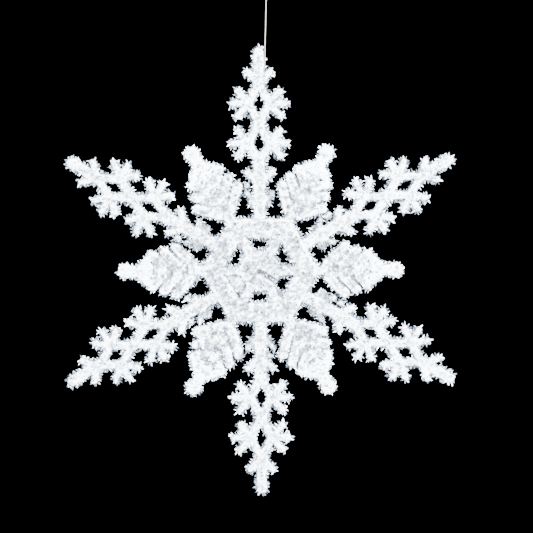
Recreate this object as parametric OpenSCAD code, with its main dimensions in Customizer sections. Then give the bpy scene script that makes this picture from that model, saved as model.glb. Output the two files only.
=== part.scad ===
// Hanging snowflake, moulded in plastic and flocked all over.
// Six branches and six plumes plug into a two-part hub with pinned tenons.
// A thread is noosed round the top branch and ends in a hanging loop.
// Millimetres, Z up. The origin is where a hook bears in the hanging loop, and the front faces -Y.

/* [Hub] */
// Radius of the disc in the middle
hub_disc_r = 17; // [12:0.5:20]
// Width of each of the six spokes
spoke_w = 7; // [4:0.5:10]
// Centre to the inner flats of the hexagonal ring
ring_inner = 29.5; // [26:0.5:40]
// Width of the ring's band
ring_band = 15.5; // [14:0.5:24]
// Thickness of each hub half
hub_half_t = 4.5; // [4.5:0.25:8]

/* [Tenons and pins] */
// Width of a tenon
tenon_w = 8; // [6:0.5:10]
// Thickness of a tenon
tenon_t = 3; // [2:0.25:3.5]
// How far a branch tenon reaches into the ring
branch_tenon_reach = 11; // [8:0.5:12]
// How far a plume tenon reaches in from the ring's corner
plume_tenon_reach = 13; // [10:0.5:14]
// Diameter of a pin
pin_d = 4; // [3:0.25:5]
// Depth of a pin in each hub half, past the tenon
pin_seat = 1.75; // [1:0.25:2]
// Clearance round a tenon
tenon_gap = 0.1; // [0.05:0.05:0.2]
// Clearance round a pin
pin_gap = 0.05; // [0.02:0.01:0.1]

/* [Branch] */
// Thickness of a branch
branch_t = 6.5; // [5:0.5:8]
// Width of the single stem next to the hub
stem_w = 9; // [7:0.5:11]
// Length of the single stem
stem_len = 50.5; // [46:0.5:70]
// Width of the two strands that cross
strand_w = 5.6; // [4.5:0.1:7.5]
// Length of the inner eye between two crossings
inner_eye_len = 35; // [30:0.5:44]
// Length of the outer eye
outer_eye_len = 36; // [30:0.5:44]
// Half the spread of the strands at an eye
eye_spread = 9.3; // [8:0.1:12]
// Diameter of the rounded joint where the strands cross
cross_d = 9; // [7:0.5:12]
// Width of the end spike
spike_w = 8; // [6:0.5:9]
// Length of the end spike past the last crossing
spike_len = 31; // [24:0.5:44]

/* [Barbs] */
// Stem length before the inner pair of barbs
inner_barb_at = 12.5; // [10:0.5:18]
// Stem length before the outer pair of barbs
outer_barb_at = 31.5; // [28:0.5:36]
// Width of an inner barb
inner_barb_w = 4; // [3:0.1:6]
// Width of an outer barb
outer_barb_w = 4.6; // [3:0.1:7]
// Length of an inner barb from the stem's middle
inner_barb_len = 18.5; // [10:0.5:20]
// Length of an outer barb from the stem's middle
outer_barb_len = 17.5; // [10:0.5:20]
// Width of the two barbs under the end spike
tip_barb_w = 4.6; // [4:0.1:6]
// Length of the two barbs under the end spike
tip_barb_len = 16.5; // [12:0.5:20]
// Angle between a barb and its stem
barb_angle = 45; // [35:1:50]

/* [Forks] */
// Width of a fork's tine
tine_w = 4.5; // [3.5:0.1:6.5]
// Length of the middle tine from the strand's middle to its end
middle_tine_len = 16.4; // [10:0.1:20]
// Length of the two slanting tines from the strand's middle to their ends
side_tine_len = 16.7; // [8:0.1:20]
// Angle between the middle tine and the slanting ones
tine_angle = 49; // [38:1:55]

/* [Plume] */
// Thickness of a plume's ribs
plume_t = 7; // [5:0.5:9]
// Thickness of the web that joins the ribs along the middle
web_t = 4; // [3.5:0.5:5]
// Width of the web
web_w = 12; // [8:0.5:15]
// Width of the neck
neck_w = 8; // [6:0.5:10]
// Ring corner to the middle of the first rib
first_rib_at = 8; // [7:0.5:12]
// Distance between ribs along the plume
rib_pitch = 13.8; // [12:0.1:17]
// Width of a rib
rib_w = 7.2; // [4:0.1:8]
// Half the flat middle of a rib
rib_flat = 5.5; // [4:0.5:8]
// Length of the first rib's slanting arms
first_arm_len = 24.9; // [16:0.1:26]
// How much shorter each next rib's arms are
arm_step = 5.2; // [3:0.1:6]
// Angle between an arm and the plume's length
arm_angle = 45; // [38:1:50]
// Width of the finger at the plume's end
finger_w = 8.6; // [6:0.2:11]
// Length of the finger past the last rib
finger_len = 24; // [18:0.5:34]
// Diameter of the finger's swollen end
finger_end_d = 11.4; // [8:0.2:13]

/* [Hanging thread] */
// Diameter of the thread
thread_d = 0.7; // [0.5:0.1:1.2]
// Diameter of the knot on the top branch
tie_knot_d = 1.9; // [1.5:0.1:3]
// Diameter of the knot under the hanging loop
top_knot_d = 2.4; // [1.9:0.1:4]
// Half the inside width of the hanging loop
loop_half_w = 6; // [4:0.5:9]
// Gap between the thread and a branch that it is pulled round
thread_snug = 0.15; // [0.1:0.05:0.3]

/* [Hidden] */
$fn = 48;
count = 6;
step_angle = 360 / count;
branch_start = 90;  // angle of the top branch, counter-clockwise from +X
plume_start = 60;   // angle of the upper right plume
rib_count = 3;
fit_gap = 0.1;      // where a branch or plume meets the ring's edge
run_gap = 0.3;      // between pieces that move against each other
bore_over = 1;      // how far a cut runs past the face that it opens

// The thread between the two knots hangs straight down
line_route = [
    [0, 0, -34], [0, 0, -39], [0, 0, -44], [0, 0, -49], [0, 0, -54], [0, 0, -59], [0, 0, -64],
    [0, 0, -69], [0, 0, -74], [0, 0, -79], [0, 0, -84], [0, 0, -89], [0, 0, -94], [0, 0, -99],
    [0, 0, -104]
];
line_rings_per_span = 2;
thread_sides = 8;
loop_arc_steps = 8;
loop_strand_steps = 8;
noose_bend_steps = 4;

ring_outer = ring_inner + ring_band;
corner_per_flat = 1 / cos(180 / count);
ring_corner = ring_outer * corner_per_flat;
branch_pin_r = ring_outer - branch_tenon_reach / 2;
plume_pin_r = ring_corner - plume_tenon_reach / 2;
pin_len = tenon_t + 2 * (tenon_gap + pin_seat);
socket_len = pin_len + 2 * tenon_gap;

first_cross = ring_outer + stem_len;
mid_cross = first_cross + inner_eye_len;
last_cross = mid_cross + outer_eye_len;
tip_r = last_cross + spike_len;
eyes = [[first_cross, mid_cross], [mid_cross, last_cross]];

rib_r = [for (i = [0 : rib_count]) ring_corner + first_rib_at + i * rib_pitch];
rib_arm = [for (i = [0 : rib_count - 1]) first_arm_len - i * arm_step];
plume_tip = rib_r[rib_count] + finger_len;

// The noose runs from the crotch under the left tip barb to the one over the right tip barb
thread_r = thread_d / 2;
tie_knot_r = tie_knot_d / 2;
top_knot_r = top_knot_d / 2;
noose_half_w = max(spike_w, cross_d) / 2 + thread_snug + thread_r;
noose_half_t = branch_t / 2 + thread_snug + thread_r;
barb_half_rise = tip_barb_w / 2 / sin(barb_angle);
noose_low = last_cross + noose_half_w / tan(barb_angle) - barb_half_rise
    - (thread_r + thread_snug) / sin(barb_angle);
tie_offset = spike_w / 2 + run_gap + tie_knot_r;
tie_r = last_cross + tie_offset / tan(barb_angle) + barb_half_rise
    + (tie_knot_r + run_gap) / sin(barb_angle);
noose_high = tie_r - thread_r - run_gap;
noose_tilt = atan2(noose_high - noose_low, 2 * noose_half_w);
noose_half_len = norm([noose_high - noose_low, 2 * noose_half_w]) / 2;
noose_bend_r = thread_snug + thread_r;
noose_end = tie_knot_r + run_gap;

// The flake hangs with its centre straight under the knot, so it leans a little
lean = atan2(tie_offset, tie_r);
line_top = line_route[0][2];
line_bottom = line_route[len(line_route) - 1][2];
top_knot_z = line_top + run_gap + top_knot_r;
tie_knot_z = line_bottom - run_gap - tie_knot_r;
centre_z = tie_knot_z - norm([tie_offset, tie_r]);

// The two strands of the hanging loop leave its round top where they touch it
loop_centre_r = loop_half_w + thread_r;
loop_arc_z = -loop_half_w;
strand_end_gap = top_knot_r + run_gap + thread_r;
strand_end_x = 0.9 * thread_d;
strand_end_z = top_knot_z + sqrt(pow(strand_end_gap, 2) - pow(strand_end_x, 2));
strand_end_drop = norm([strand_end_x, strand_end_z - loop_arc_z]);
touch_angle = atan2(strand_end_z - loop_arc_z, strand_end_x) + acos(loop_centre_r / strand_end_drop);

// ---- flat outlines, with X away from the flake's centre ----

module bar(from, to, w) {
    reach = to - from;
    translate(from) rotate(atan2(reach[1], reach[0])) {
        translate([0, -w / 2]) square([norm(reach), w]);
        circle(d = w);
        translate([norm(reach), 0]) circle(d = w);
    }
}

module both_sides() {
    children();
    mirror([0, 1]) children();
}

// A bar with a round end, its length counted to that end
module arm_from(start, angle, length, w) {
    bar(start, start + (length - w / 2) * [cos(angle), sin(angle)], w);
}

module ring_hexagon(flat_r) circle(r = flat_r * corner_per_flat, $fn = count);

module hub_outline() {
    circle(r = hub_disc_r);
    difference() {
        ring_hexagon(ring_outer);
        ring_hexagon(ring_inner);
    }
    for (i = [0 : count - 1]) rotate(i * step_angle)
        translate([0, -spoke_w / 2]) square([ring_inner + ring_band / 2, spoke_w]);
}

module tenon_outline(outer_r, reach, gap) {
    translate([outer_r - reach - gap, -tenon_w / 2 - gap])
        square([reach + gap + bore_over, tenon_w + 2 * gap]);
}

module barb_pair(at, length, w) {
    both_sides() arm_from([at, 0], barb_angle, length, w);
}

module eye(from, to) {
    side = [(from + to) / 2, eye_spread];
    both_sides() {
        bar([from, 0], side, strand_w);
        bar(side, [to, 0], strand_w);
        arm_from(side, 90, middle_tine_len, tine_w);
        for (turn = [-tine_angle, tine_angle]) arm_from(side, 90 + turn, side_tine_len, tine_w);
    }
}

module branch_outline() {
    translate([ring_outer + fit_gap, -stem_w / 2]) square([stem_len - fit_gap, stem_w]);
    barb_pair(ring_outer + inner_barb_at, inner_barb_len, inner_barb_w);
    barb_pair(ring_outer + outer_barb_at, outer_barb_len, outer_barb_w);
    for (ends = eyes) eye(ends[0], ends[1]);
    for (r = [first_cross, mid_cross, last_cross]) translate([r, 0]) circle(d = cross_d);
    barb_pair(last_cross, tip_barb_len, tip_barb_w);
    bar([last_cross, 0], [tip_r - spike_w / 2, 0], spike_w);
}

module rib_outline() {
    for (i = [0 : rib_count - 1]) both_sides() {
        bar([rib_r[i], 0], [rib_r[i], rib_flat], rib_w);
        arm_from([rib_r[i], rib_flat], arm_angle, rib_arm[i], rib_w);
    }
}

module cap_outline() {
    last = rib_r[rib_count];
    shoulder = last + rib_w;
    polygon([
        [last - rib_w / 2, -rib_flat - rib_w], [last, -rib_flat - rib_w],
        [shoulder, -finger_w / 2], [shoulder, finger_w / 2],
        [last, rib_flat + rib_w], [last - rib_w / 2, rib_flat + rib_w]
    ]);
    translate([last, -finger_w / 2]) square([finger_len - finger_end_d / 2, finger_w]);
    translate([plume_tip - finger_end_d / 2, 0]) circle(d = finger_end_d);
}

module neck_outline() {
    difference() {
        translate([ring_corner - neck_w, -neck_w / 2]) square([neck_w + first_rib_at, neck_w]);
        ring_hexagon(ring_outer + fit_gap);
    }
}

// ---- placing ----

// A flat outline becomes a plate that is as thick in front of the flake's plane as behind it
module plate(t) rotate([90, 0, 0]) linear_extrude(height = t, center = true) children();

module on_flake(angle = 0) translate([0, 0, centre_z]) rotate([0, -(angle + lean), 0]) children();

// A round bar from front to back at a distance from the flake's centre
module across(r, d, length)
    translate([r, 0, 0]) rotate([90, 0, 0]) cylinder(d = d, h = length, center = true);

// ---- hub ----

module hub_half(side) {
    on_flake() difference() {
        translate([0, side * hub_half_t / 2, 0]) plate(hub_half_t) hub_outline();
        for (i = [0 : count - 1]) {
            rotate([0, -(branch_start + i * step_angle), 0]) {
                plate(tenon_t + 2 * tenon_gap) tenon_outline(ring_outer, branch_tenon_reach, tenon_gap);
                across(branch_pin_r, pin_d + 2 * pin_gap, socket_len);
            }
            rotate([0, -(plume_start + i * step_angle), 0]) {
                plate(tenon_t + 2 * tenon_gap) tenon_outline(ring_corner, plume_tenon_reach, tenon_gap);
                across(plume_pin_r, pin_d + 2 * pin_gap, socket_len);
            }
        }
    }
}

module front_hub() color("white") hub_half(-1);

module back_hub() color("white") hub_half(1);

module hub_pins() color("whitesmoke") for (i = [0 : count - 1]) {
    on_flake(branch_start + i * step_angle) across(branch_pin_r, pin_d, pin_len);
    on_flake(plume_start + i * step_angle) across(plume_pin_r, pin_d, pin_len);
}

// ---- branches and plumes ----

module pinned_tenon(outer_r, reach, pin_r) {
    difference() {
        plate(tenon_t) translate([outer_r - reach, -tenon_w / 2]) square([reach + bore_over, tenon_w]);
        across(pin_r, pin_d + 2 * pin_gap, tenon_t + 2 * bore_over);
    }
}

module branch(i) color("white") on_flake(branch_start + i * step_angle) {
    pinned_tenon(ring_outer, branch_tenon_reach, branch_pin_r);
    plate(branch_t) branch_outline();
}

module plume(i) color("white") on_flake(plume_start + i * step_angle) {
    pinned_tenon(ring_corner, plume_tenon_reach, plume_pin_r);
    plate(plume_t) {
        neck_outline();
        rib_outline();
        cap_outline();
    }
    plate(web_t) translate([rib_r[0], -web_w / 2]) square([rib_r[rib_count] - rib_r[0], web_w]);
}

module top_branch() branch(0);
module upper_left_branch() branch(1);
module lower_left_branch() branch(2);
module bottom_branch() branch(3);
module lower_right_branch() branch(4);
module upper_right_branch() branch(5);

module upper_right_plume() plume(0);
module upper_left_plume() plume(1);
module left_plume() plume(2);
module lower_left_plume() plume(3);
module lower_right_plume() plume(4);
module right_plume() plume(5);

// ---- hanging thread ----

function heading(path, k) =
    let (step = path[min(k + 1, len(path) - 1)] - path[max(k - 1, 0)])
    step / norm(step);

// A tube along a path that lies in one plane, with the plane's normal as its side
module thread_tube(path, side) {
    points = [for (k = [0 : len(path) - 1], i = [0 : thread_sides - 1])
        let (turn = i * 360 / thread_sides)
        path[k] + thread_r * (cos(turn) * side + sin(turn) * cross(side, heading(path, k)))];
    walls = [for (k = [0 : len(path) - 2], i = [0 : thread_sides - 1])
        let (a = k * thread_sides + i, b = k * thread_sides + (i + 1) % thread_sides)
        [a, a + thread_sides, b + thread_sides, b]];
    start = [for (i = [0 : thread_sides - 1]) i];
    end = [for (i = [thread_sides - 1 : -1 : 0]) (len(path) - 1) * thread_sides + i];
    polyhedron(points, concat([start], walls, [end]));
}

// The noose lies in a tilted plane: X runs from its low left end to its high right end
function noose_corner(turn) = let (x = noose_half_len - noose_bend_r, y = noose_half_t - noose_bend_r)
    [(turn == 0 || turn == 3) ? x : -x, turn < 2 ? y : -y, 0];

module noose() thread_tube([
    [noose_half_len, noose_end, 0],
    for (turn = [0 : 3], i = [0 : noose_bend_steps])
        let (angle = 90 * (turn + i / noose_bend_steps))
        noose_corner(turn) + noose_bend_r * [cos(angle), sin(angle), 0],
    [noose_half_len, -noose_end, 0]
], [0, 0, 1]);

module tie_loop() color("ivory") on_flake()
    translate([0, 0, (noose_low + noose_high) / 2]) rotate([0, -noose_tilt, 0]) noose();

module tie_knot() color("ivory") translate([0, 0, tie_knot_z]) sphere(r = tie_knot_r);

// Points along the route, with the spans between the chosen points divided evenly
function line_point(k) =
    let (span = min(floor(k / line_rings_per_span), len(line_route) - 2),
         part = k / line_rings_per_span - span)
    line_route[span] * (1 - part) + line_route[span + 1] * part;

module line() color("ivory")
    thread_tube([for (k = [0 : (len(line_route) - 1) * line_rings_per_span]) line_point(k)], [0, 1, 0]);

module top_knot() color("ivory") translate([0, 0, top_knot_z]) sphere(r = top_knot_r);

// One side of the hanging loop: down from the middle of its round top, then straight to the knot
function loop_side(side) =
    let (touch = loop_centre_r * [cos(touch_angle), sin(touch_angle)] + [0, loop_arc_z],
         end = [strand_end_x, strand_end_z])
    [
        for (i = [0 : loop_arc_steps])
            let (turn = 90 - i * (90 - touch_angle) / loop_arc_steps)
            [side * loop_centre_r * cos(turn), 0, loop_arc_z + loop_centre_r * sin(turn)],
        for (i = [1 : loop_strand_steps])
            let (part = i / loop_strand_steps, point = touch * (1 - part) + end * part)
            [side * point[0], 0, point[1]]
    ];

module top_loop() color("ivory") {
    left = loop_side(-1);
    right = loop_side(1);
    thread_tube(concat([for (i = [len(left) - 1 : -1 : 1]) left[i]], right), [0, 1, 0]);
}

front_hub();
back_hub();
hub_pins();
top_branch();
upper_left_branch();
lower_left_branch();
bottom_branch();
lower_right_branch();
upper_right_branch();
upper_right_plume();
upper_left_plume();
left_plume();
lower_left_plume();
lower_right_plume();
right_plume();
tie_loop();
tie_knot();
line();
top_knot();
top_loop();
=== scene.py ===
import math

import bmesh
import bpy
import numpy as np
from mathutils import Matrix, Vector
from mathutils.bvhtree import BVHTree
from mathutils.kdtree import KDTree


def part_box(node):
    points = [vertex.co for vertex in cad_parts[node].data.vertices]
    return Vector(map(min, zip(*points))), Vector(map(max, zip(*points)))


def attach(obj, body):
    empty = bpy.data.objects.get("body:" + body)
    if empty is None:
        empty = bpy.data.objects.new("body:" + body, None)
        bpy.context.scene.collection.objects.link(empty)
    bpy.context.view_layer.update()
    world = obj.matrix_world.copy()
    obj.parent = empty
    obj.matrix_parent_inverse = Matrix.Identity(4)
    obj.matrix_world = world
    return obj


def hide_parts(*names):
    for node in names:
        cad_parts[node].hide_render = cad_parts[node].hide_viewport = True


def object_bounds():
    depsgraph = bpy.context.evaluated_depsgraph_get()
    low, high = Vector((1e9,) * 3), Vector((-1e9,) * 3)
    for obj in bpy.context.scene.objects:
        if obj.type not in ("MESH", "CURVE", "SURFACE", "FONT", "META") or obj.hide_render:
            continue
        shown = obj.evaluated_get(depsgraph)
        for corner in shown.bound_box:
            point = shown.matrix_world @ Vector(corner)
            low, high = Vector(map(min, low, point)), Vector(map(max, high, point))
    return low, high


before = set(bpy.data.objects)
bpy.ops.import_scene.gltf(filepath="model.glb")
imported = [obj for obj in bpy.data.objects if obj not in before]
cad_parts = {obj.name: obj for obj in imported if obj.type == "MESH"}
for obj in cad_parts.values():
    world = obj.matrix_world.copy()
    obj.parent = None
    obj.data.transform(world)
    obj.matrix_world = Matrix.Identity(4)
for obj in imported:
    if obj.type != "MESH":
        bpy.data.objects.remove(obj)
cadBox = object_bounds()

# where things are, read from the CAD frame
hubLow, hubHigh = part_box("front_hub")
centre = np.array([(hubLow.x + hubHigh.x) / 2, 0.0, (hubLow.z + hubHigh.z) / 2])
branchNames = [
    "top_branch", "upper_left_branch", "lower_left_branch",
    "bottom_branch", "lower_right_branch", "upper_right_branch",
]
plumeNames = [
    "upper_right_plume", "upper_left_plume", "left_plume",
    "lower_left_plume", "lower_right_plume", "right_plume",
]


def pointsOf(mesh):
    found = np.empty(len(mesh.vertices) * 3)
    mesh.vertices.foreach_get("co", found)
    return found.reshape(-1, 3)


def ringSize():
    # the hub's farthest point is a corner of its hexagon, which gives the lean and the flat's distance
    flat = (pointsOf(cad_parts["front_hub"].data) - centre)[:, [0, 2]]
    corner = flat[np.argmax(np.hypot(flat[:, 0], flat[:, 1]))]
    turn = math.degrees(math.atan2(corner[1], corner[0]))
    leanAngle = (turn + 30) % 60 - 30
    return math.radians(leanAngle), float(np.hypot(*corner)) * math.cos(math.pi / 6)


lean, ringFlat = ringSize()


def flakeDirection(degrees):
    # unit vector in the flake's plane, counter-clockwise from its own right-hand side
    turn = math.radians(degrees) + lean
    return np.array([math.cos(turn), 0.0, math.sin(turn)])


def flakePoint(degrees, r):
    return centre + r * flakeDirection(degrees)


cameraLook = {
    "distance": 3.0,      # far enough for a long lens
    "viewWidth": 0.4740,  # width seen at the flake
    "aside": 0.0056,      # the flake's centre is a little left of the view's
    "above": 0.0037,
    "roll": 1.26,         # degrees, the thread leans right by this
    "sensorWidth": 36.0,  # in millimetres
    "clipEnd": 20.0,
}


def makeCamera(look):
    data = bpy.data.cameras.new("camera")
    data.sensor_width = look["sensorWidth"]
    data.lens = data.sensor_width * look["distance"] / look["viewWidth"]
    data.clip_end = look["clipEnd"]
    camera = bpy.data.objects.new("camera", data)
    bpy.context.scene.collection.objects.link(camera)
    roll = math.radians(look["roll"])
    right = Vector((math.cos(roll), 0, math.sin(roll)))
    up = Vector((-math.sin(roll), 0, math.cos(roll)))
    back = Vector((0, -1, 0))
    place = Vector(centre) + Vector((look["aside"], -look["distance"], look["above"]))
    turned = Matrix((right, up, back)).transposed()
    camera.matrix_world = Matrix.Translation(place) @ turned.to_4x4()
    bpy.context.scene.camera = camera


makeCamera(cameraLook)
print("camera placed")


def newMaterial(name):
    material = bpy.data.materials.new(name)
    material.use_nodes = True
    tree = material.node_tree
    return material, tree, tree.nodes["Principled BSDF"]


def addNode(tree, kind, **values):
    node = tree.nodes.new(kind)
    for name, value in values.items():
        if name in node.inputs:
            node.inputs[name].default_value = value
        else:
            setattr(node, name, value)
    return node


def addRamp(tree, factor, stops):
    ramp = tree.nodes.new("ShaderNodeValToRGB")
    elements = ramp.color_ramp.elements
    for element, (place, colour) in zip(elements, (stops[0], stops[-1])):
        element.position = place
        element.color = (*colour, 1)
    for place, colour in stops[1:-1]:
        elements.new(place).color = (*colour, 1)
    tree.links.new(factor, ramp.inputs["Fac"])
    return ramp.outputs["Color"]


feltLook = {
    # the felt's colours: partly a duller core, darkened further as painted shade between the tufts
    "stops": [(0.45, (0.030, 0.036, 0.044)), (0.75, (0.107, 0.123, 0.143)), (1.0, (0.285, 0.33, 0.375))],
    "toneName": "paintedShadeTone",    # how bright the flock is at a place, 0 to 1: painted shade in the hollows, round the sides and along the parting, painted light on the ridges, plus the flock's own random clumps and grain
    "grainScale": 750.0,
    "grainDetail": 3.0,
    "grainRoughness": 0.7,
    "grainShare": 0.7,     # how much of the grain is added to the tone
    "bump": 0.5,
    "bumpDistance": 0.0004,
    "roughness": 0.85,
    "specular": 0.15,
}


def makeFelt(look):
    # the imported roots of the flock: a duller core, painted near black where it shows between the tufts
    # as shade; greyer in the hollows and whiter on the ridges as painted shade and light, with a fine
    # grain
    material, tree, shader = newMaterial("flockFelt")
    place = addNode(tree, "ShaderNodeTexCoord")
    grain = addNode(tree, "ShaderNodeTexNoise", Scale=look["grainScale"], Detail=look["grainDetail"])
    grain.inputs["Roughness"].default_value = look["grainRoughness"]
    tree.links.new(place.outputs["Object"], grain.inputs["Vector"])
    paintedShadeTone = addNode(tree, "ShaderNodeAttribute", attribute_name=look["toneName"])
    both = addNode(tree, "ShaderNodeMath", operation="MULTIPLY_ADD")
    both.inputs[1].default_value = look["grainShare"]
    tree.links.new(grain.outputs["Fac"], both.inputs[0])
    tree.links.new(paintedShadeTone.outputs["Fac"], both.inputs[2])
    tree.links.new(addRamp(tree, both.outputs[0], look["stops"]), shader.inputs["Base Color"])
    bump = addNode(tree, "ShaderNodeBump", Strength=look["bump"], Distance=look["bumpDistance"])
    tree.links.new(grain.outputs["Fac"], bump.inputs["Height"])
    tree.links.new(bump.outputs["Normal"], shader.inputs["Normal"])
    shader.inputs["Roughness"].default_value = look["roughness"]
    shader.inputs["Specular IOR Level"].default_value = look["specular"]
    return material


fibreLook = {
    # from root to tip: the dark root is painted shade where the fibres stand crowded between the tufts
    "along": [(0.1, (0.088, 0.101, 0.118)), (0.5, (0.77, 0.85, 0.93)), (0.95, (0.63, 0.70, 0.77))],
    # from the dullest fibre to the whitest: a fibre's place here carries the painted shade and light of
    # the felt it stands on, with a random tone of its own
    "paintedShadeTones": [(0.05, (0.042, 0.051, 0.062)), (0.5, (0.29, 0.325, 0.365)), (0.95, (1, 1, 1))],
    "roughness": 0.75,
    "specular": 0.15,
    "mapName": "OFBake",  # across: one place for each fibre, up: root to tip
}


def makeFibre(look):
    # each fibre is painted much darker at its root as shade between the tufts, takes the painted shade and
    # light of where it stands, and no two are quite the same white
    material, tree, shader = newMaterial("flockFibre")
    strand = addNode(tree, "ShaderNodeUVMap", uv_map=look["mapName"])
    split = addNode(tree, "ShaderNodeSeparateXYZ")
    tree.links.new(strand.outputs["UV"], split.inputs["Vector"])
    along = addRamp(tree, split.outputs["Y"], look["along"])
    paintedShadeTone = addRamp(tree, split.outputs["X"], look["paintedShadeTones"])
    mix = addNode(tree, "ShaderNodeMix", data_type="RGBA", blend_type="MULTIPLY")
    mix.inputs["Factor"].default_value = 1.0
    tree.links.new(along, mix.inputs["A"])
    tree.links.new(paintedShadeTone, mix.inputs["B"])
    tree.links.new(mix.outputs["Result"], shader.inputs["Base Color"])
    shader.inputs["Roughness"].default_value = look["roughness"]
    shader.inputs["Specular IOR Level"].default_value = look["specular"]
    return material


threadLook = {
    "stops": [(0.3, (0.046, 0.045, 0.037)), (0.65, (0.100, 0.098, 0.080))],
    "fuzzScale": 2500.0,
    "fuzzDetail": 3.0,
    "bump": 0.4,
    "bumpDistance": 0.0001,
    "roughness": 0.6,
    "sheen": 0.3,
}


def makeThread(look):
    material, tree, shader = newMaterial("twistedThread")
    place = addNode(tree, "ShaderNodeTexCoord")
    fuzz = addNode(tree, "ShaderNodeTexNoise", Scale=look["fuzzScale"], Detail=look["fuzzDetail"])
    tree.links.new(place.outputs["Object"], fuzz.inputs["Vector"])
    tree.links.new(addRamp(tree, fuzz.outputs["Fac"], look["stops"]), shader.inputs["Base Color"])
    bump = addNode(tree, "ShaderNodeBump", Strength=look["bump"], Distance=look["bumpDistance"])
    tree.links.new(fuzz.outputs["Fac"], bump.inputs["Height"])
    tree.links.new(bump.outputs["Normal"], shader.inputs["Normal"])
    shader.inputs["Roughness"].default_value = look["roughness"]
    shader.inputs["Sheen Weight"].default_value = look["sheen"]
    return material


pinLook = {
    "stops": [(0.35, (0.78, 0.79, 0.80)), (0.65, (0.88, 0.89, 0.90))],
    "cloudScale": 400.0,
    "cloudDetail": 2.0,
    "roughness": 0.45,
}


def makePinPlastic(look):
    material, tree, shader = newMaterial("mouldedPlastic")
    place = addNode(tree, "ShaderNodeTexCoord")
    cloud = addNode(tree, "ShaderNodeTexNoise", Scale=look["cloudScale"], Detail=look["cloudDetail"])
    tree.links.new(place.outputs["Object"], cloud.inputs["Vector"])
    tree.links.new(addRamp(tree, cloud.outputs["Fac"], look["stops"]), shader.inputs["Base Color"])
    shader.inputs["Roughness"].default_value = look["roughness"]
    return material


felt = makeFelt(feltLook)
fibre = makeFibre(fibreLook)
thread = makeThread(threadLook)
pinPlastic = makePinPlastic(pinLook)
print("materials made")

# the thread: its line, knots, hanging loop and noose
lineLow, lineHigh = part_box("line")
threadRadius = (lineHigh.y - lineLow.y) / 2
threadShape = {
    "plies": 3,
    "plyShare": 0.27,       # how deep the twist's grooves are
    "groovePower": 1.5,     # how sharp they are
    "twistLength": 0.0032,  # one full turn of the twist
    "ringStep": 0.00022,
    "fewestSteps": 8,
    "sides": 18,
    "endShares": (0.55, 0.9),  # thickness of the first two rings at an end
    "startAcross": (0.31, 0.83, 0.46),  # any direction that no piece of thread starts along
}
knotShape = {
    "pathPoints": 121,
    "flatness": 1.35,
    "topStrandShare": 0.34,  # the strand's radius as a share of the knot's
    "tieStrandShare": 0.36,
}
loopShape = {
    "arcPoints": 60,
    "endGap": 0.9,  # between the loop's two ends and the middle, in thread diameters
}
# the same points as the CAD route, in metres
lineRoute = [
    (0, 0, -0.034), (0, 0, -0.039), (0, 0, -0.044), (0, 0, -0.049), (0, 0, -0.054),
    (0, 0, -0.059), (0, 0, -0.064), (0, 0, -0.069), (0, 0, -0.074), (0, 0, -0.079),
    (0, 0, -0.084), (0, 0, -0.089), (0, 0, -0.094), (0, 0, -0.099), (0, 0, -0.104),
]


def meshObject(name, points, faces, material, smooth=True):
    mesh = bpy.data.meshes.new(name)
    mesh.from_pydata([tuple(p) for p in points], [], [tuple(f) for f in faces])
    mesh.polygons.foreach_set("use_smooth", [smooth] * len(mesh.polygons))
    mesh.materials.append(material)
    mesh.update()
    piece = bpy.data.objects.new(name, mesh)
    bpy.context.scene.collection.objects.link(piece)
    return piece


def evenPath(points, step):
    points = np.array(points, float)
    lengths = np.linalg.norm(np.diff(points, axis=0), axis=1)
    along = np.concatenate([[0], np.cumsum(lengths)])
    count = max(int(round(along[-1] / step)), threadShape["fewestSteps"])
    wanted = np.linspace(0, along[-1], count + 1)
    return np.stack([np.interp(wanted, along, points[:, k]) for k in range(3)], 1)


def twistedTube(name, path, radius, closed=False):
    # plies twisted round each other: a lobed section that turns as it goes along the path
    shape = threadShape
    path = evenPath(path, shape["ringStep"])
    if closed:
        path = path[:-1]
    count = len(path)
    ahead = np.roll(path, -1, 0) - np.roll(path, 1, 0)
    if not closed:
        ahead[0] = path[1] - path[0]
        ahead[-1] = path[-1] - path[-2]
    ahead /= np.linalg.norm(ahead, axis=1)[:, None]
    across = np.cross(ahead[0], shape["startAcross"])
    rings = []
    for k in range(count):
        across = across - ahead[k] * np.dot(across, ahead[k])
        across /= np.linalg.norm(across)
        other = np.cross(ahead[k], across)
        turn = 2 * math.pi * k * shape["ringStep"] / shape["twistLength"]
        angles = np.arange(shape["sides"]) * 2 * math.pi / shape["sides"]
        lobes = np.abs(np.cos((angles - turn) * shape["plies"] / 2))
        reach = radius * (1 - shape["plyShare"] * (1 - lobes) ** shape["groovePower"])
        fromEnd = min(k, count - 1 - k)
        if not closed and fromEnd < len(shape["endShares"]):
            reach = reach * shape["endShares"][fromEnd]
        outward = np.cos(angles)[:, None] * across + np.sin(angles)[:, None] * other
        rings.append(path[k] + reach[:, None] * outward)
    sides = shape["sides"]
    faces = []
    for k in range(count if closed else count - 1):
        low = k * sides
        high = (k + 1) % count * sides
        for i in range(sides):
            j = (i + 1) % sides
            faces.append((low + i, low + j, high + j, high + i))
    if not closed:
        faces.append(tuple(range(sides - 1, -1, -1)))
        faces.append(tuple((count - 1) * sides + i for i in range(sides)))
    return meshObject(name, np.concatenate(rings), faces, thread)


def boxCentre(node):
    low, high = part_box(node)
    return np.array((low + high) / 2), (high - low).z / 2


def knotPiece(name, node, strandShare):
    # an overhand knot pulled tight: a trefoil of thread the size of the CAD ball
    middle, radius = boxCentre(node)
    turns = np.linspace(0, 2 * math.pi, knotShape["pathPoints"])
    trefoil = np.stack([
        np.sin(turns) + 2 * np.sin(2 * turns),
        -knotShape["flatness"] * np.sin(3 * turns),
        np.cos(turns) - 2 * np.cos(2 * turns),
    ], 1)
    strand = radius * strandShare
    return twistedTube(name, middle + trefoil / 3.0 * (radius - strand), strand, closed=True)


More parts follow.
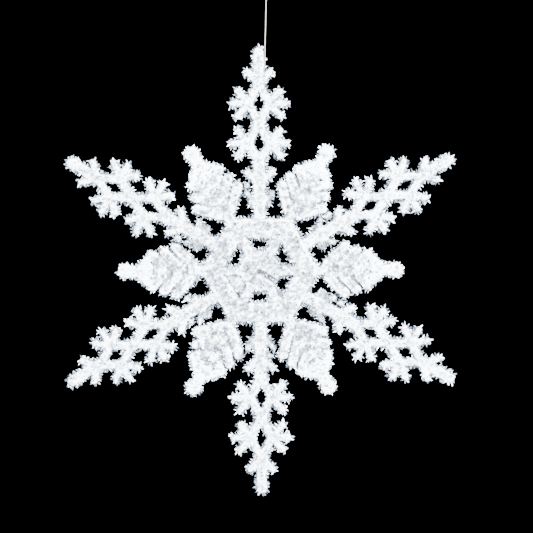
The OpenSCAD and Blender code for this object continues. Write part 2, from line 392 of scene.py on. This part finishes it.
def loopPath():
    low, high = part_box("top_loop")
    bend = (high.x - low.x) / 2 - threadRadius
    arcMiddle = np.array([0.0, high.z - threadRadius - bend])
    end = np.array([loopShape["endGap"] * 2 * threadRadius, low.z + threadRadius])
    reach = end - arcMiddle
    touch = math.atan2(reach[1], reach[0]) + math.acos(bend / np.hypot(*reach))
    turns = np.linspace(math.pi - touch, touch, loopShape["arcPoints"])
    arc = [arcMiddle + bend * np.array([math.cos(t), math.sin(t)]) for t in turns]
    flat = [np.array([-end[0], end[1]])] + arc + [end]
    return [(p[0], 0.0, p[1]) for p in flat]


linePiece = twistedTube("line_thread", lineRoute, threadRadius)
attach(linePiece, "thread")
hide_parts("line")
topKnot = knotPiece("top_knot_thread", "top_knot", knotShape["topStrandShare"])
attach(topKnot, "swivel")
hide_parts("top_knot")
tieKnot = knotPiece("tie_knot_thread", "tie_knot", knotShape["tieStrandShare"])
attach(tieKnot, "tie")
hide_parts("tie_knot")
topLoop = twistedTube("top_loop_thread", loopPath(), threadRadius)
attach(topLoop, "hanger")
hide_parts("top_loop")
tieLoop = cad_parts["tie_loop"]
tieLoop.data.materials.clear()
tieLoop.data.materials.append(thread)
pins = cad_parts["hub_pins"]
pins.data.materials.clear()
pins.data.materials.append(pinPlastic)
print("thread made")

# felted bodies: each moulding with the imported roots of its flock
bodyShape = {
    "voxel": 0.0008,       # size of the mesh's faces
    "rounding": 16,        # passes of smoothing that round the moulded edges
    "roundingFactor": 0.5,
    "felt": {"hub": 0.0010, "branch": 0.0007, "plume": 0.0006},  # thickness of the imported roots
    "swell": {"hub": 0.0003, "branch": 0.0, "plume": 0.0006},    # thicker on ridges, thinner in grooves
    "swellAt": 0.0012,     # the full swell is reached where a place stands this proud
    "barbThinning": 0.6,   # share of the felt that is missing on the barbs along a stem
    "onSeam": 0.00001,     # points this near the middle plane lie on the seam
    "mergeWithin": 2e-6,
    "dissolveWithin": 1e-6,
    "lumpRounds": 3,       # how finely a lump is divided before it is merged
    "clumpSeed": 3,
    "grainSeed": 5,
    "seamGap": 0.00005,
    "seamReach": 0.003,    # each half is rounded past the seam, then pressed flat there
    "seatBlend": 0.0015,   # the felt thins out to nothing where a root enters the hub
    "seatHalfWidth": 0.0045,
    "seatDepth": 0.0022,
    "seatLength": 0.012,
}
# the flock lies in lumps: their size and depth, then those of the grain on them
clumpShape = {
    "hub": (0.0062, 0.0006, 0.0021, 0.0004),
    "branch": (0.0056, 0.0004, 0.0020, 0.0004),
    "plume": (0.0038, 0.0006, 0.0019, 0.0004),
}


def latticeNoise(points, cell, seed):
    # smooth noise from -1 to 1 that is the same on every run: large odd numbers mix each cell's place
    scaled = points / cell
    base = np.floor(scaled).astype(np.int64)
    part = scaled - base
    part = part * part * (3 - 2 * part)
    total = np.zeros(len(points))
    for corner in range(8):
        step = np.array([corner & 1, corner >> 1 & 1, corner >> 2 & 1])
        place = (base + step).astype(np.uint64)
        mixed = place[:, 0] * np.uint64(73856093) ^ place[:, 1] * np.uint64(19349663)
        mixed = mixed ^ place[:, 2] * np.uint64(83492791) ^ np.uint64(seed * 2654435761)
        mixed = (mixed ^ mixed >> np.uint64(15)) * np.uint64(2246822519)
        mixed = (mixed ^ mixed >> np.uint64(13)) * np.uint64(3266489917)
        value = (mixed >> np.uint64(16) & np.uint64(65535)).astype(float) / 32767.5 - 1
        weight = np.prod(np.where(step == 1, part, 1 - part), axis=1)
        total += weight * value
    return total


def hexDistance(points):
    # how far out a point lies, measured to the flats of the hub's hexagon
    rel = points - centre
    return np.max([rel @ flakeDirection(90 + 60 * k) for k in range(6)], axis=0)


def applyModifiers(piece):
    depsgraph = bpy.context.evaluated_depsgraph_get()
    finished = bpy.data.meshes.new_from_object(piece.evaluated_get(depsgraph))
    piece.modifiers.clear()
    old = piece.data
    piece.data = finished
    bpy.data.meshes.remove(old)


def normalsOf(mesh):
    found = np.empty(len(mesh.vertices) * 3)
    mesh.vertices.foreach_get("normal", found)
    return found.reshape(-1, 3)


hubLook = {
    # lumps of matted flock: angle and distance from the centre, half-sizes outward, across and deep
    "lumps": [
        (208, 0.0240, 0.0072, 0.0092, 0.0022),
        (90, 0.0300, 0.0016, 0.0085, 0.0038),
        (70, 0.0265, 0.0030, 0.0025, 0.0036),
        (27, 0.0307, 0.0026, 0.0060, 0.0036),
        (150, 0.0165, 0.0024, 0.0038, 0.0036),
        (128, 0.0285, 0.0025, 0.0030, 0.0036),
        (-48, 0.0290, 0.0024, 0.0028, 0.0034),
        (-18, 0.0160, 0.0020, 0.0020, 0.0034),
        (270, 0.0165, 0.0018, 0.0060, 0.0038),
        (290, 0.0275, 0.0022, 0.0020, 0.0034),
        (60, 0.0235, 0.0090, 0.0030, 0.0052),
        (120, 0.0235, 0.0090, 0.0030, 0.0052),
    ],
    # a parting in the flock runs from the disc into the opening on its right
    "parting": [
        (-0.0008, -0.0010), (0.0032, -0.0032), (0.0089, -0.0067),
        (0.0135, -0.0098), (0.0152, -0.0142), (0.0178, -0.0215),
    ],
    "partingFront": -0.003,  # it is cut into what lies in front of this plane
    "partingHalfWidth": 0.0013,
    "partingDepth": 0.0056,
    # painted shade: the felt along the parting is darkened as the groove's shadow
    "partingShade": 2.4,
    "partingClear": 0.0018,  # half the width without flock
}
plumeLook = {
    # matted flock closes the gaps between the ribs: distance out, half-sizes outward, across and deep
    "matting": (0.0790, 0.0170, 0.0145, 0.0015),
    "neck": (0.0580, 0.0056, 0.0028),  # distance out, half-sizes outward and deep
    "neckHalfWidth": {
        "right_plume": 0.0072,
        "upper_right_plume": 0.0062,
        "upper_left_plume": 0.0062,
        "left_plume": 0.0088,
        "lower_left_plume": 0.0062,
        "lower_right_plume": 0.0062,
    },
    # where the flock hides the grooves too: angle round the flake, and half its depth
    "hidden": {
        "right_plume": [(6.5, 0.0030)],
        "upper_right_plume": [(53.5, 0.0032)],
        "upper_left_plume": [(126.5, 0.0033)],
        "left_plume": [(173.5, 0.0027), (186.5, 0.0029)],
        "lower_left_plume": [(233.5, 0.0030)],
        "lower_right_plume": [(306.5, 0.0033)],
    },
    "hiddenPlace": (0.0790, 0.0140, 0.0080),  # distance out, half-sizes outward and across
}


def plumeLumps(node):
    look = plumeLook
    middle = 60 * (plumeNames.index(node) + 1)
    r, outward, depth = look["neck"]
    found = [(middle, *look["matting"]), (middle, r, outward, look["neckHalfWidth"][node], depth)]
    return found + [(degrees, *look["hiddenPlace"], depth) for degrees, depth in look["hidden"][node]]


branchLook = {
    # matted flock between a stem and its barbs: angle and distance from the centre, then its half-size
    "lumps": [
        (22.0, 0.0595, 0.0044),
        (37.0, 0.0610, 0.0036),
        (38.5, 0.0775, 0.0038),
        (83.2, 0.0610, 0.0034),
        (96.8, 0.0610, 0.0030),
        (98.5, 0.0765, 0.0030),
        (142.8, 0.0605, 0.0040),
        (157.8, 0.0600, 0.0049),
        (158.5, 0.0785, 0.0036),
        (203.0, 0.0620, 0.0027),
        (219.0, 0.0610, 0.0042),
        (216.5, 0.0765, 0.0026),
        (263.2, 0.0615, 0.0030),
        (276.6, 0.0620, 0.0029),
        (276.0, 0.0765, 0.0028),
        (322.5, 0.0595, 0.0045),
        (337.8, 0.0590, 0.0050),
        (337.5, 0.0775, 0.0032),
    ],
    "lumpDepth": 0.0027,
}


def branchLumps(node):
    middle = 90 + 60 * branchNames.index(node)
    found = []
    for degrees, r, size in branchLook["lumps"]:
        if abs((degrees - middle + 180) % 360 - 180) < 30:
            found.append((degrees, r, size, size, branchLook["lumpDepth"]))
    return found


def addLumps(mesh, lumps):
    work = bmesh.new()
    work.from_mesh(mesh)
    for degrees, r, outward, across, depth in lumps:
        turned = Matrix.Rotation(-(math.radians(degrees) + lean), 4, "Y")
        size = Matrix.Diagonal((outward, depth, across, 1))
        place = Matrix.Translation(Vector(flakePoint(degrees, r)))
        rounds = bodyShape["lumpRounds"]
        bmesh.ops.create_icosphere(work, subdivisions=rounds, radius=1, matrix=place @ turned @ size)
    work.to_mesh(mesh)
    work.free()


def partingDistance(points):
    # distance from the parting line, seen from the front
    rel = points - centre
    flat = np.stack([rel @ flakeDirection(0), rel @ flakeDirection(90)], 1)
    nearest = np.full(len(points), 1.0)
    route = np.array(hubLook["parting"])
    for start, end in zip(route[:-1], route[1:]):
        step = end - start
        share = np.clip((flat - start) @ step / (step @ step), 0, 1)
        gap = np.linalg.norm(flat - start - share[:, None] * step, axis=1)
        nearest = np.minimum(nearest, gap)
    nearest[points[:, 1] > hubLook["partingFront"]] = 1.0
    return nearest


def partingShare(points):
    # 1 along the middle of the parting, falling to 0 at twice its half-width
    return np.clip(1 - partingDistance(points) / (2 * hubLook["partingHalfWidth"]), 0, 1)


def inSeat(points):
    # the pockets for the roots of the branches and plumes
    shape = bodyShape
    rel = points - centre
    found = np.zeros(len(points), bool)
    for k in range(12):
        outer = ringFlat if k % 2 else ringFlat / math.cos(math.pi / 6)
        away = rel @ flakeDirection(30 * k)
        aside = np.abs(rel @ flakeDirection(30 * k + 90))
        found |= (away > outer - shape["seatLength"]) & (aside < shape["seatHalfWidth"])
    return found & (np.abs(points[:, 1]) < shape["seatDepth"])


def closeAtSeam(mesh, side):
    # whatever reaches past the seam is pressed flat on it, which closes the half with a flat face
    points = pointsOf(mesh)
    points[:, 1] = side * np.maximum(side * points[:, 1], bodyShape["seamGap"])
    mesh.vertices.foreach_set("co", points.ravel())
    work = bmesh.new()
    work.from_mesh(mesh)
    bmesh.ops.remove_doubles(work, verts=work.verts[:], dist=bodyShape["mergeWithin"])
    bmesh.ops.dissolve_degenerate(work, edges=work.edges[:], dist=bodyShape["dissolveWithin"])
    work.to_mesh(mesh)
    work.free()


# the brightness painted on the flock: painted shade in the hollows, round the sides and along the parting,
# painted light on the ridges, besides its own random clumps and grain
paintedShadeToneLook = {
    "name": feltLook["toneName"],
    "smoothing": 30,       # passes that find which places stand proud of their surroundings
    "smoothingShare": 0.6,  # how far each pass moves a point towards its neighbours
    "level": {"hub": 0.27, "branch": 0.46, "plume": 0.345},
    "proudFrom": 0.0008,   # a place this proud has its plain level
    "proud": {"hub": 200.0, "branch": 300.0, "plume": 300.0},  # painted light and shade: brighter for each metre it stands proud, greyer in the hollows
    "paintedFacingLight": 0.55,        # painted light and shade: brighter where the surface faces the front and back, greyer round the sides
    "facingFrom": 0.30,    # the turn to the front counts from here on
    "facingOver": 0.65,    # and fully after this much more
    "clump": {"hub": 0.15, "branch": 0.16, "plume": 0.22},
    "grain": 0.26,
    "finger": 0.30,        # brighter by this on a plume's finger
    "fingerFrom": 0.0950,
    "barb": 0.30,          # greyer by this on the barbs along a branch's stem
    "barbStart": 0.0050,
    "barbEnd": 0.0830,
    "barbBlend": 0.0025,   # over this distance at the ends of those barbs
    "seam": 0.13,          # brighter by this where the hub's edge meets the branches and plumes
    "seamBlend": 0.0022,
}


def branchPlace(points):
    # distance from the flake's centre, and from the line through the middle of the nearest branch
    rel = points - centre
    away = np.hypot(rel[:, 0], rel[:, 2])
    angle = np.degrees(np.arctan2(rel[:, 2], rel[:, 0]) - lean)
    return away, away * np.abs(np.sin(np.radians(angle % 60 - 30)))


def thinFlock(points, kind):
    # 1 out on the barbs along a branch's stem, where the flock is thin, and 0 elsewhere
    if kind != "branch":
        return np.zeros(len(points))
    along, aside = branchPlace(points)
    look = paintedShadeToneLook
    inner = np.clip((look["barbEnd"] - along) / look["barbBlend"], 0, 1)
    return inner * np.clip((aside - look["barbStart"]) / look["barbBlend"], 0, 1)


def proudOf(mesh):
    # how far each place stands proud of its surroundings, less than nothing in a hollow
    points = pointsOf(mesh)
    edges = np.empty(len(mesh.edges) * 2, np.int32)
    mesh.edges.foreach_get("vertices", edges)
    first, second = edges.reshape(-1, 2).T
    count = np.bincount(edges, minlength=len(points))[:, None]
    settled = points.copy()
    share = paintedShadeToneLook["smoothingShare"]
    for turn in range(paintedShadeToneLook["smoothing"]):
        total = np.zeros_like(settled)
        for k in range(3):
            total[:, k] = np.bincount(first, settled[second, k], len(points))
            total[:, k] += np.bincount(second, settled[first, k], len(points))
        settled = (1 - share) * settled + share * total / count
    return np.sum((points - settled) * normalsOf(mesh), axis=1)


def paintShadeTone(mesh, kind, clumps, grains):
    # painted light and shade: the flock is painted brightest on the ridges and greyest in the hollows and
    # round the sides
    look = paintedShadeToneLook
    points = pointsOf(mesh)
    normals = normalsOf(mesh)
    proud = proudOf(mesh)
    # painted shade in the hollows and round the sides, painted light on the ridges and on the faces turned
    # to the front and back
    paintedFacingLight = np.clip((np.abs(normals[:, 1]) - look["facingFrom"]) / look["facingOver"], 0, 1)
    paintedShadeTone = look["level"][kind] + look["proud"][kind] * (proud - look["proudFrom"])
    paintedShadeTone = paintedShadeTone + look["paintedFacingLight"] * (paintedFacingLight - 0.5) + look["clump"][kind] * clumps
    paintedShadeTone = paintedShadeTone + look["grain"] * grains - look["barb"] * thinFlock(points, kind)
    if kind == "plume":
        paintedShadeTone = paintedShadeTone + look["finger"] * (np.linalg.norm(points - centre, axis=1) > look["fingerFrom"])
    edge = np.abs(hexDistance(points) - ringFlat) / look["seamBlend"]
    paintedShadeTone = paintedShadeTone + look["seam"] * np.clip(1 - edge, 0, 1)
    # painted shade along the parting groove
    paintedShadeTone = paintedShadeTone - hubLook["partingShade"] * partingShare(points)
    paintedShadeTone = np.clip(paintedShadeTone, 0, 1)
    layer = mesh.attributes.new(look["name"], "FLOAT", "POINT")
    layer.data.foreach_set("value", paintedShadeTone.astype(np.float32))


def paintedShadeToneOf(mesh):
    found = np.empty(len(mesh.vertices), np.float32)
    mesh.attributes[paintedShadeToneLook["name"]].data.foreach_get("value", found)
    return found


def feltBody(node, kind, side=0):
    shape = bodyShape
    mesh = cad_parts[node].data.copy()
    if side:
        points = pointsOf(mesh)
        points[side * points[:, 1] < shape["onSeam"], 1] = -side * shape["seamReach"]
        mesh.vertices.foreach_set("co", points.ravel())
        addLumps(mesh, hubLook["lumps"])
    if kind == "branch":
        addLumps(mesh, branchLumps(node))
    if kind == "plume":
        addLumps(mesh, plumeLumps(node))
    piece = bpy.data.objects.new(node + "_body", mesh)
    bpy.context.scene.collection.objects.link(piece)
    remesh = piece.modifiers.new("remesh", "REMESH")
    remesh.mode = "VOXEL"
    remesh.voxel_size = shape["voxel"]
    smooth = piece.modifiers.new("smooth", "SMOOTH")
    smooth.factor = shape["roundingFactor"]
    smooth.iterations = shape["rounding"]
    applyModifiers(piece)
    mesh = piece.data
    points = pointsOf(mesh)
    normals = normalsOf(mesh)
    clumpSize, clumpDepth, grainSize, grainDepth = clumpShape[kind]
    clumps = latticeNoise(points, clumpSize, shape["clumpSeed"])
    push = shape["felt"][kind] + clumpDepth * clumps
    grains = latticeNoise(points, grainSize, shape["grainSeed"])
    push = push + grainDepth * grains
    push = push + shape["swell"][kind] * np.clip(proudOf(mesh) / shape["swellAt"], -1, 1)
    if side:
        push = np.where(inSeat(points), 0, push)
        push = push - hubLook["partingDepth"] * partingShare(points)
    else:
        out = hexDistance(points) - ringFlat
        push = push * np.clip(out / shape["seatBlend"], 0, 1)
        push = push * (1 - shape["barbThinning"] * thinFlock(points, kind))
    points = points + normals * push[:, None]
    mesh.vertices.foreach_set("co", points.ravel())
    mesh.update()
    paintShadeTone(mesh, kind, clumps, grains)
    if side:
        closeAtSeam(mesh, side)
    mesh.polygons.foreach_set("use_smooth", [True] * len(mesh.polygons))
    mesh.materials.clear()
    mesh.materials.append(felt)
    mesh.update()
    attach(piece, "flake")
    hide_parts(node)
    return piece


bodies = {name: feltBody(name, "branch") for name in branchNames}
bodies.update({name: feltBody(name, "plume") for name in plumeNames})
bodies["front_hub"] = feltBody("front_hub", "hub", -1)
bodies["back_hub"] = feltBody("back_hub", "hub", 1)
print("felted bodies made")

# flock: short stiff fibres that stand on the felt
fibreShape = {
    "perSquareMetre": 1.9e6,
    "rootRadius": 0.00023,
    "radiusVaries": (0.75, 1.25),
    "sunk": 0.0002,        # how deep a root sits in the felt
    "spread": 0.45,        # how far a fibre leans at random
    "looseShare": 0.12,    # fibres that stand away from their tuft
    "clearance": 0.0002,   # a fibre stops this short of what it meets
    "offset": 0.00003,     # where the search for what it meets begins
    "feeler": 0.015,       # how far it searches
    "meeting": {"hub": 0.38, "branch": 0.2, "plume": 0.38},  # share of the way to whatever the fibre faces
    "deepest": 0.0093,     # no fibre reaches further to the front or back
    "leastLength": 0.0007,
    "eyesFrom": 0.0880,    # from here out a branch has eyes, and fibres that lean into them are shorter
    "eyeReach": 0.0085,    # half the width that the eyes take
    "eyeProbe": 0.002,     # a fibre leans inwards if it gains half of this over this length
    "eyeShare": 0.55,      # how long those fibres still are
    "spikeFrom": 0.1620,   # the end spike's fibres are a little shorter
    "spikeShare": 0.88,
    "threadGap": 0.0002,   # between the fibres and the thread
    "threadTests": (0.4, 0.7, 1.0),  # tested at these shares of a fibre's length
    "toneSpread": 0.9,     # how much brighter or greyer one tuft is than the next
    "fibreSpread": 0.3,    # and one fibre than the next
    "rollFrom": (0.36, 0.48, 0.8),   # any direction, from which a fibre's roll is measured
    "mapEnds": (0.04, 0.96),         # lowest and highest place on the fibre material's map
    "mapHalfWidth": 0.004,
}
tuftShape = {
    "perSquareMetre": 0.35e6,
    "spacing": 0.0021,     # no two tufts stand nearer than this
    "shortest": {"hub": 0.0016, "branch": 0.0024, "plume": 0.0016},
    "longest": {"hub": 0.0044, "branch": 0.0044, "plume": 0.0034},
    "lean": 0.34,
    "reach": 0.00095,      # fibres this near a tuft's root belong to it
    "stout": 2.1,          # how much thicker a tuft's fibres are than the rest
    "gather": 0.93,        # how strongly a tuft's fibres close at its tip
    "gatherVaries": (0.85, 1.15),
    "tipSpread": 0.00010,
    "keepWidth": 0.08,     # how wide a tuft still is at its end
    "underShare": 0.20,    # length of the fibres between the tufts
}


def bodyTree(pieces):
    allPoints = []
    allFaces = []
    start = 0
    for piece in pieces:
        points = pointsOf(piece.data)
        allPoints.append(points)
        corners = np.empty(len(piece.data.loops), np.int32)
        piece.data.loops.foreach_get("vertex_index", corners)
        firsts = np.empty(len(piece.data.polygons), np.int32)
        piece.data.polygons.foreach_get("loop_start", firsts)
        ends = np.append(firsts[1:], len(corners))
        allFaces += [(corners[a:b] + start).tolist() for a, b in zip(firsts, ends)]
        start += len(points)
    return BVHTree.FromPolygons(np.concatenate(allPoints).tolist(), allFaces)


def scatter(mesh, density, rng):
    mesh.calc_loop_triangles()
    corners = np.empty(len(mesh.loop_triangles) * 3, np.int32)
    mesh.loop_triangles.foreach_get("vertices", corners)
    corners = corners.reshape(-1, 3)
    points = pointsOf(mesh)
    normals = normalsOf(mesh)
    a, b, c = (points[corners[:, k]] for k in range(3))
    areas = np.linalg.norm(np.cross(b - a, c - a), axis=1) / 2
    count = int(density * areas.sum())
    chosen = np.searchsorted(np.cumsum(areas), rng.random(count) * areas.sum())
    chosen = np.minimum(chosen, len(areas) - 1)
    u = rng.random(count)
    v = rng.random(count)
    over = u + v > 1
    u[over] = 1 - u[over]
    v[over] = 1 - v[over]
    w = 1 - u - v
    picked = corners[chosen]
    roots = sum(points[picked[:, k]] * s[:, None] for k, s in enumerate((w, u, v)))
    upright = sum(normals[picked[:, k]] * s[:, None] for k, s in enumerate((w, u, v)))
    upright /= np.linalg.norm(upright, axis=1)[:, None]
    # the painted shade and light of the felt, carried over to each root
    paintedShadeTones = paintedShadeToneOf(mesh)
    paintedShadeTone = sum(paintedShadeTones[picked[:, k]] * s for k, s in enumerate((w, u, v)))
    return roots, upright, paintedShadeTone


tiny = 1e-12  # nothing is divided by less than this


def unitRows(rows):
    return rows / np.maximum(np.linalg.norm(rows, axis=1), tiny)[:, None]


def tuftLengths(count, kind, rng):
    return rng.uniform(tuftShape["shortest"][kind], tuftShape["longest"][kind], count)


def growTufts(mesh, kind, rng):
    # tufts stand at least one spacing apart, each with its own lean and length
    shape = tuftShape
    roots, upright, paintedShadeTone = scatter(mesh, shape["perSquareMetre"], rng)
    wholeTree = KDTree(len(roots))
    for k, root in enumerate(roots):
        wholeTree.insert(root, k)
    wholeTree.balance()
    kept = np.ones(len(roots), bool)
    for k in range(len(roots)):
        if kept[k]:
            for place, other, gap in wholeTree.find_range(roots[k], shape["spacing"]):
                if other > k:
                    kept[other] = False
    roots = roots[kept]
    heading = unitRows(upright[kept] + shape["lean"] * rng.normal(size=roots.shape))
    return roots, roots + heading * tuftLengths(len(roots), kind, rng)[:, None]


def fibreTips(roots, upright, mesh, kind, rng):
    # fibres close towards the tip of the tuft they stand in, and those between tufts are shorter
    shape = tuftShape
    tuftRoots, tuftTips = growTufts(mesh, kind, rng)
    tuftTree = KDTree(len(tuftRoots))
    for k, root in enumerate(tuftRoots):
        tuftTree.insert(root, k)
    tuftTree.balance()
    found = [tuftTree.find(root) for root in roots]
    nearest = np.array([one[1] for one in found])
    gathered = np.array([one[2] for one in found]) < shape["reach"]
    gathered &= rng.random(len(roots)) > fibreShape["looseShare"]
    length = tuftLengths(len(roots), kind, rng) * np.where(gathered, 1, shape["underShare"])
    lean = unitRows(upright + fibreShape["spread"] * rng.normal(size=roots.shape))
    own = roots + lean * length[:, None]
    chance = rng.random(len(tuftRoots))[nearest]
    tips = tuftTips[nearest] + shape["keepWidth"] * (roots - tuftRoots[nearest])
    tips = tips + shape["tipSpread"] * rng.normal(size=roots.shape)
    pull = np.where(gathered, shape["gather"], 0.0) * rng.uniform(*shape["gatherVaries"], len(roots))
    return own + (tips - own) * pull[:, None], chance, np.where(gathered, shape["stout"], 1.0)


def clearOfThread(roots, tips):
    # above the knot no fibre reaches the plane the thread hangs in, so the flake can nod past it
    tieMiddle, tieRadius = boxCentre("tie_knot")
    gap = fibreShape["threadGap"]
    near = np.zeros(len(roots), bool)
    for part in fibreShape["threadTests"]:
        spot = roots + (tips - roots) * part
        near |= (np.abs(spot[:, 0]) < threadRadius + gap) & (spot[:, 2] > tieMiddle[2])
        near |= np.linalg.norm(spot - tieMiddle, axis=1) < tieRadius + gap
    return ~near


def fibreLengths(roots, upright, heading, length, kind, tree):
    # a fibre stops short of whatever it faces, of a branch's eyes and of the flake's full depth
    shape = fibreShape
    starts = roots + upright * shape["offset"]
    for k in range(len(roots)):
        hit = tree.ray_cast(Vector(starts[k]), Vector(heading[k]), shape["feeler"])
        if hit[0] is not None:
            inside = hit[1].dot(Vector(heading[k])) > 0
            free = shape["meeting"][kind] * hit[3] - shape["clearance"]
            length[k] = 0 if inside else min(length[k], free)
    if kind == "branch":
        away, aside = branchPlace(roots)
        ahead = branchPlace(roots + shape["eyeProbe"] * heading)[1]
        closer = ahead < aside - shape["eyeProbe"] / 2
        closer &= (away > shape["eyesFrom"]) & (aside < shape["eyeReach"])
        length = length * np.where(closer, shape["eyeShare"], 1)
        length = length * np.where(away > shape["spikeFrom"], shape["spikeShare"], 1)
    room = shape["deepest"] - np.sign(heading[:, 1]) * roots[:, 1]
    return np.minimum(length, room / np.maximum(np.abs(heading[:, 1]), tiny))


def fibreMesh(name, roots, heading, length, width, place, rolled):
    # every fibre is a thin three-sided spike with a closed root
    shape = fibreShape
    count = len(roots)
    aside = unitRows(np.cross(heading, np.array(shape["rollFrom"])))
    other = np.cross(heading, aside)
    points = np.empty((count, 4, 3))
    for k in range(3):
        turn = rolled + k * 2 * math.pi / 3
        ring = aside * np.cos(turn)[:, None] + other * np.sin(turn)[:, None]
        points[:, k] = roots - heading * shape["sunk"] + ring * width[:, None]
    points[:, 3] = roots + heading * length[:, None]
    corners = np.array([[0, 1, 3], [1, 2, 3], [2, 0, 3], [0, 2, 1]])
    faces = (corners[None] + 4 * np.arange(count)[:, None, None]).reshape(-1)
    mesh = bpy.data.meshes.new(name)
    mesh.vertices.add(count * 4)
    mesh.vertices.foreach_set("co", points.ravel())
    mesh.loops.add(len(faces))
    mesh.loops.foreach_set("vertex_index", faces.astype(np.int32))
    mesh.polygons.add(len(faces) // 3)
    mesh.polygons.foreach_set("loop_start", np.arange(0, len(faces), 3, dtype=np.int32))
    mesh.update(calc_edges=True)
    layer = mesh.uv_layers.new(name=fibreLook["mapName"])
    half = shape["mapHalfWidth"]
    low, high = shape["mapEnds"]
    side = [[-half, low], [half, low], [0, high]]
    pattern = np.array(side * 3 + [[-half, low], [half, low], [0, low / 2]])
    spots = np.repeat(pattern[None], count, 0)
    spots[:, :, 0] += place[:, None]
    layer.uv.foreach_set("vector", spots.astype(np.float32).ravel())
    mesh.polygons.foreach_set("use_smooth", [False] * len(mesh.polygons))
    mesh.materials.append(fibre)
    mesh.validate()
    return mesh


def flockPiece(name, body, kind, tree, seed):
    shape = fibreShape
    rng = np.random.default_rng(seed)
    roots, upright, paintedShadeTone = scatter(body.data, shape["perSquareMetre"], rng)
    tips, chance, stout = fibreTips(roots, upright, body.data, kind, rng)
    reach = tips - roots
    heading = unitRows(reach)
    width = shape["rootRadius"] * stout * rng.uniform(*shape["radiusVaries"], len(roots))
    # the felt's painted shade and light under the root, with a random tone for each tuft and fibre, sets
    # where the fibre sits on its colour ramp
    paintedShadeTone = paintedShadeTone + shape["toneSpread"] * (chance - 0.5) + shape["fibreSpread"] * rng.normal(size=len(roots))
    low, high = shape["mapEnds"]
    place = low + (high - low) * np.clip(paintedShadeTone, 0, 1)
    rolled = rng.uniform(0, 2 * math.pi, len(roots))
    length = fibreLengths(roots, upright, heading, np.linalg.norm(reach, axis=1), kind, tree)
    keep = (length > shape["leastLength"]) & clearOfThread(roots, roots + heading * length[:, None])
    keep &= partingDistance(roots) > hubLook["partingClear"]
    parts = [x[keep] for x in (roots, heading, length, width, place, rolled)]
    piece = bpy.data.objects.new(name, fibreMesh(name, *parts))
    bpy.context.scene.collection.objects.link(piece)
    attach(piece, "flake")
    return len(parts[0])


tree = bodyTree(bodies.values())
firstSeed = 100
fibreCount = 0
for order, (name, body) in enumerate(bodies.items()):
    kind = name.split("_")[-1]
    fibreCount += flockPiece(name + "_flock", body, kind, tree, firstSeed + order)
print("flock made:", fibreCount, "fibres")

# a pale floor and soft studio light
roomLook = {
    "floorDrop": 0.25,      # below the lowest tip
    "floorRadius": 1.1,
    "floorSides": 96,
    "floorColour": (0.055, 0.054, 0.053),
    "floorRoughness": 0.8,
    "floorMottle": 0.95,    # how bright its darker places are
    "floorScale": 6.0,
    "floorDetail": 3.0,
    "floorStops": (0.3, 0.7),
    "background": (0.0, 0.0, 0.0),
    # each lamp: place to the right, behind and above the flake's middle, its size and its power
    "lamps": {
        "frontLight": (0.3, -2.7, 0.5, 0.5, 1830.0),
        "sideLight": (1.6, -1.4, 1.2, 0.5, 1100.0),
        "fillLight": (-1.5, -1.8, 0.2, 1.4, 100.0),
        "backLight": (-0.4, 2.6, 0.4, 0.8, 700.0),
    },
}


def areaLight(name, place, target, size, power):
    data = bpy.data.lights.new(name, "AREA")
    data.shape = "DISK"
    data.size = size
    data.energy = power
    lamp = bpy.data.objects.new(name, data)
    bpy.context.scene.collection.objects.link(lamp)
    lamp.location = place
    lamp.rotation_euler = (Vector(target) - Vector(place)).to_track_quat("-Z", "Y").to_euler()


def makeRoom(look):
    world = bpy.data.worlds.new("room")
    world.use_nodes = True
    world.node_tree.nodes["Background"].inputs["Color"].default_value = (*look["background"], 1)
    bpy.context.scene.world = world
    height = cadBox[0][2] - look["floorDrop"]
    turns = np.linspace(0, 2 * math.pi, look["floorSides"] + 1)[:-1]
    radius = look["floorRadius"]
    rim = [(radius * math.cos(t), radius * math.sin(t), height) for t in turns]
    material, floorTree, shader = newMaterial("paleFloor")
    cloud = addNode(floorTree, "ShaderNodeTexNoise", Scale=look["floorScale"], Detail=look["floorDetail"])
    pale = look["floorColour"]
    dull = tuple(look["floorMottle"] * c for c in pale)
    stops = list(zip(look["floorStops"], (dull, pale)))
    floorTree.links.new(addRamp(floorTree, cloud.outputs["Fac"], stops), shader.inputs["Base Color"])
    shader.inputs["Roughness"].default_value = look["floorRoughness"]
    floor = meshObject("floor", rim, [tuple(range(len(rim)))], material, smooth=False)
    for name, (right, behind, above, size, power) in look["lamps"].items():
        areaLight(name, (right, behind, centre[2] + above), tuple(centre), size, power)


makeRoom(roomLook)
print("room made")
